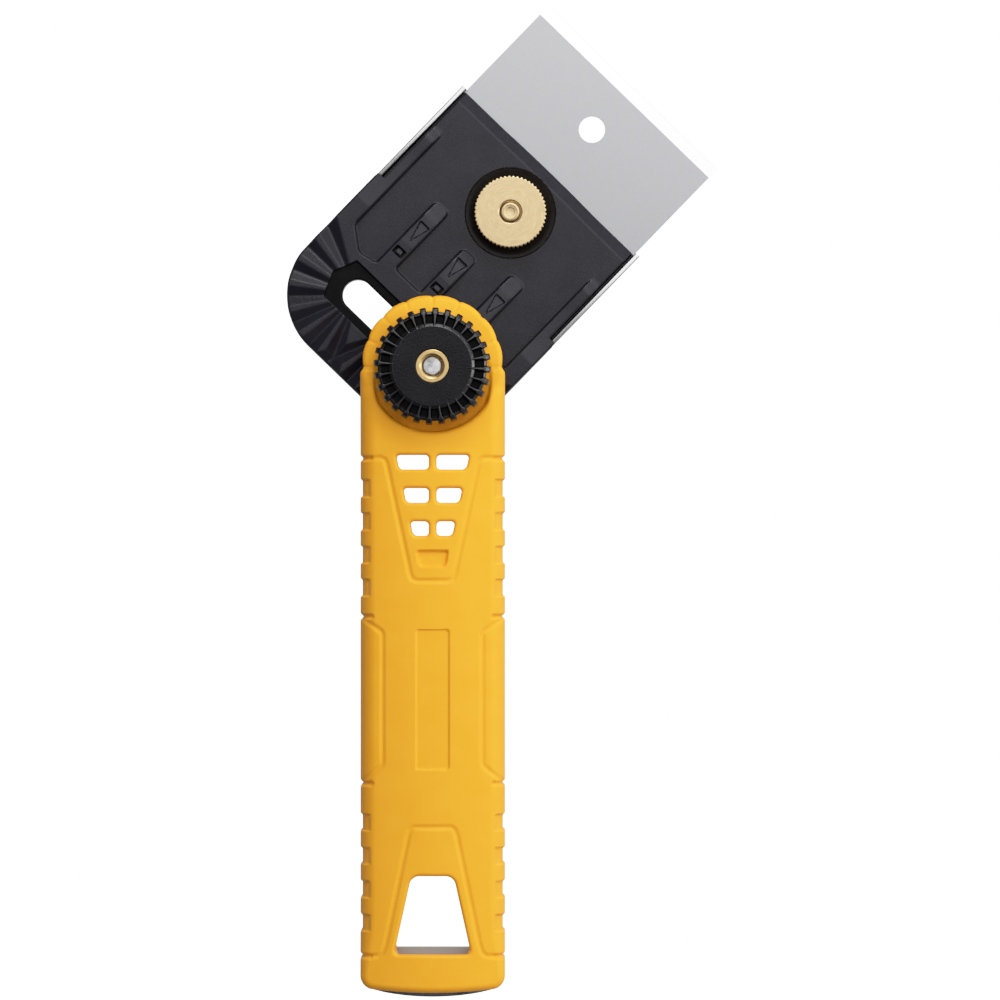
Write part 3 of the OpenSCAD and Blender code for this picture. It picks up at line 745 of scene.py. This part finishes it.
# ---- build: clamp plate ------------------------------------------------------
def bent(s):
    """Cross-section of one side: floor, outer bend and rail with a softened top edge."""
    pts = [(0, 0), (29.4, 0)]
    pts += [(30.1 + 1.2 * math.sin(t), 1.2 - 1.2 * math.cos(t)) for t in np.linspace(0, math.pi / 2, 9)]
    pts += [(31.3 - 0.3 + 0.3 * math.cos(t), 5.2 + 0.3 * math.sin(t)) for t in np.linspace(0, math.pi / 2, 5)]
    pts += [(30.1 + 0.3 - 0.3 * math.sin(t), 5.2 + 0.3 * math.cos(t)) for t in np.linspace(0, math.pi / 2, 5)]
    pts += [(30.1, 1.5)]
    pts += [(30.1 - 0.3 + 0.3 * math.cos(t), 1.5 - 0.3 * math.sin(t)) for t in np.linspace(0, math.pi / 2, 5)[1:]]
    pts += [(29.4, 1.2), (0, 1.2)]
    return [(s * u, z) for u, z in pts]


section = bent(1)
whole = section + bent(-1)[1:-1][::-1]
vv = [26.1, 26.35, 56.75, 57.0]
bm = bmesh.new()
cuts = []
for v in vv:
    inset = 0.12 if v in (vv[0], vv[-1]) else 0.0
    ring = []
    for u, z in bent(1)[1:-1]:
        ring.append((u, z))
    for u, z in bent(-1)[1:-1][::-1]:
        ring.append((u, z))
    cuts.append([bm.verts.new((u, v, z + (inset if z < 0.6 else -inset * 0.5))) for u, z in ring])
for a, b in zip(cuts[:-1], cuts[1:]):
    for i in range(len(a)):
        k = (i + 1) % len(a)
        bm.faces.new((a[i], a[k], b[k], b[i]))
for c in (cuts[0], cuts[-1]):
    bmesh.ops.triangle_fill(bm, use_beauty=True, edges=[bm.edges.get((c[i], c[(i + 1) % len(c)])) for i in range(len(c))])
# tongue behind the rails
x0, x1, y0, y1 = -29.9, 29.9, 23.2, 26.2
quad = [bm.verts.new(p) for p in ((x0, y0, 0.06), (x1, y0, 0.06), (x1, y1, 0.06), (x0, y1, 0.06),
                                  (x0, y0, 1.14), (x1, y0, 1.14), (x1, y1, 1.14), (x0, y1, 1.14))]
for q in ((3, 2, 1, 0), (4, 5, 6, 7), (0, 1, 5, 4), (1, 2, 6, 5), (2, 3, 7, 6), (3, 0, 4, 7)):
    bm.faces.new([quad[i] for i in q])
bmesh.ops.recalc_face_normals(bm, faces=bm.faces)
for e in bm.edges:
    e.smooth = len(e.link_faces) != 2 or e.calc_face_angle(0) < math.radians(30)
for p in bm.faces:
    p.smooth = True
for v in bm.verts:
    u, w = v.co.x - SLOT, v.co.y
    v.co = ((CA * u + SA * w) * MM, (PIVOT_Y - SA * u + CA * w) * MM, v.co.z * MM)
me = bpy.data.meshes.new("folded_plate")
bm.to_mesh(me)
bm.free()
plate = bpy.data.objects.new("folded_plate", me)
bpy.context.scene.collection.objects.link(plate)
place(plate, "clamp_plate", "clamp", "sheet_steel", sheet)

# ---- build: strike butt ------------------------------------------------------
def butt_form(x, y, z):
    f = both(np.abs(x) - 15.6, y + 147.6 + 0.6 * ramp(z, 1, 17), 0.3)
    f = both(f, np.hypot(x, y + 93.1) - 66.0, 0.4)
    return both(f, np.maximum(1.2 - z, z - 17.0 + 0.04 * np.maximum(np.abs(x) - 9, 0) ** 2), 0.6)


h = 0.4 if FINE else 0.7
P, N, Q = net(butt_form, (-15.6, -159.1, 1.2), (15.6, -147.6, 17.0), (h, h, h))
block = make("striking_butt", on_handle(P), Q, N)
place(block, "strike_butt", "handle", "butt_steel", butt, butt_top)
# faces at the hang hole's floor take the lighter copy, the rest the darker steel with its painted shade
if len(block.data.polygons) == len(Q):
    block.data.polygons.foreach_set("material_index", (P[Q].mean(1)[:, 1] > -148.8).astype(np.int32))

# ---- stage, light and camera -------------------------------------------------
sc = bpy.context.scene


def sheet_of_light(name, z, strength):
    """Plain white floor sheet that glows evenly and neither lights nor shades the tool."""
    bpy.ops.mesh.primitive_plane_add(size=6, location=(0, 0.05, z))
    ob = bpy.context.object
    ob.name = name
    m = bpy.data.materials.new(name + "_white")
    m.use_nodes = True
    t = m.node_tree
    t.nodes.clear()
    em = t.nodes.new("ShaderNodeEmission")
    em.inputs["Color"].default_value = (1, 1, 1, 1)
    em.inputs["Strength"].default_value = strength
    t.links.new(em.outputs[0], t.nodes.new("ShaderNodeOutputMaterial").inputs["Surface"])
    ob.data.materials.append(m)
    ob.visible_diffuse = False
    ob.visible_shadow = False
    return ob


floor = sheet_of_light("floor", -0.0012, 1.6)
floor.visible_glossy = False
# what the metal mirrors of the floor, dimmer than it looks
mirrored = sheet_of_light("floor_mirrored", -0.0014, 0.75)
mirrored.visible_camera = False

world = bpy.data.worlds.new("studio")
sc.world = world
world.use_nodes = True
wt = world.node_tree
bg = wt.nodes["Background"]
bg.inputs["Color"].default_value = (0.98, 0.99, 1.0, 1)
lean = wt.nodes.new("ShaderNodeVectorMath")
lean.operation = "DOT_PRODUCT"
lean.inputs[1].default_value = (0.93, 0.25, 0.27)
wt.links.new(wt.nodes.new("ShaderNodeTexCoord").outputs["Generated"], lean.inputs[0])
wt.links.new(between(wt, lean.outputs["Value"], 0.0, 1.0, 0.12, 1.1), bg.inputs["Strength"])


def lamp(name, at, to, size, power, color=(1, 1, 1)):
    d = bpy.data.lights.new(name, "AREA")
    d.shape = "RECTANGLE"
    d.size, d.size_y = size
    d.energy = power
    d.color = color
    o = bpy.data.objects.new(name, d)
    sc.collection.objects.link(o)
    o.location = at
    from mathutils import Vector
    o.rotation_euler = (Vector(to) - Vector(at)).to_track_quat("-Z", "Y").to_euler()
    o.visible_camera = False
    return o


AIM = (0.02, 0.07, 0.0)
lamp("key", (0.18, 0.46, 0.70), AIM, (0.8, 0.8), 4.7)
lamp("top", (0.03, 0.47, 0.28), (0.02, 0.11, 0.0), (0.24, 0.12), 0.7)
lamp("side", (0.79, 0.11, 0.465), AIM, (0.35, 0.2), 1.6)
lamp("fill", (-0.40, 0.10, 0.70), AIM, (0.6, 0.6), 0.8)

cam_data = bpy.data.cameras.new("cam")
cam = bpy.data.objects.new("cam", cam_data)
sc.collection.objects.link(cam)
cam_data.sensor_width = 36
cam_data.lens = 187.4
cam_data.clip_start = 0.05
cam_data.clip_end = 20
cam.location = (0.01703, 0.0684, 1.3315)
cam.rotation_euler = (0, 0, 0)
sc.camera = cam
sc.view_settings.view_transform = "Standard"
sc.view_settings.look = "None"
# soft shoulder, as a camera has: highlights roll off towards white
sc.view_settings.use_curve_mapping = True
tone = sc.view_settings.curve_mapping
tone.white_level = (1.6, 1.6, 1.6)
for x, y in ((0.15, 0.24), (0.325, 0.51), (0.46, 0.68), (0.625, 0.83), (0.75, 0.905), (0.875, 0.96)):
    tone.curves[3].points.new(x, y)
tone.update()
